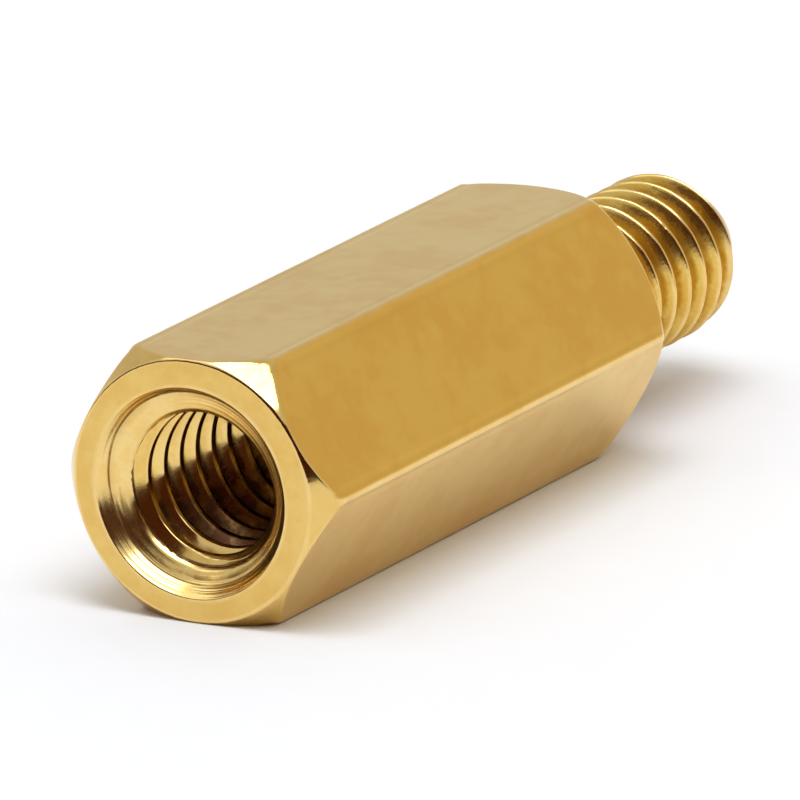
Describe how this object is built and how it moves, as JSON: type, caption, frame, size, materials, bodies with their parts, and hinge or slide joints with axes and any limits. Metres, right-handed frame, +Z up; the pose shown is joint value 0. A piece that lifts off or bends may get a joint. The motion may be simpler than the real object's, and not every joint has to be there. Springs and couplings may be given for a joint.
{
  "type": "hex standoff",
  "caption": "Male-female hexagonal brass standoff: chamfered hex body with a countersunk tapped hole at one end and a threaded stud at the other.",
  "frame": {"origin": "on the common axis of the tapped hole and the stud, halfway between the hole's end face and the stud's tip", "axes": "+X along the thread axis towards the stud's tip, +Z up, square to the flat that it rests on, +Y across the body"},
  "size_m": [0.0222, 0.0068, 0.006],
  "materials": {
    "brass": "bright drawn and turned brass"
  },
  "bodies": {
    "root": {"hex_standoff": "brass"}
  },
  "joints": []
}
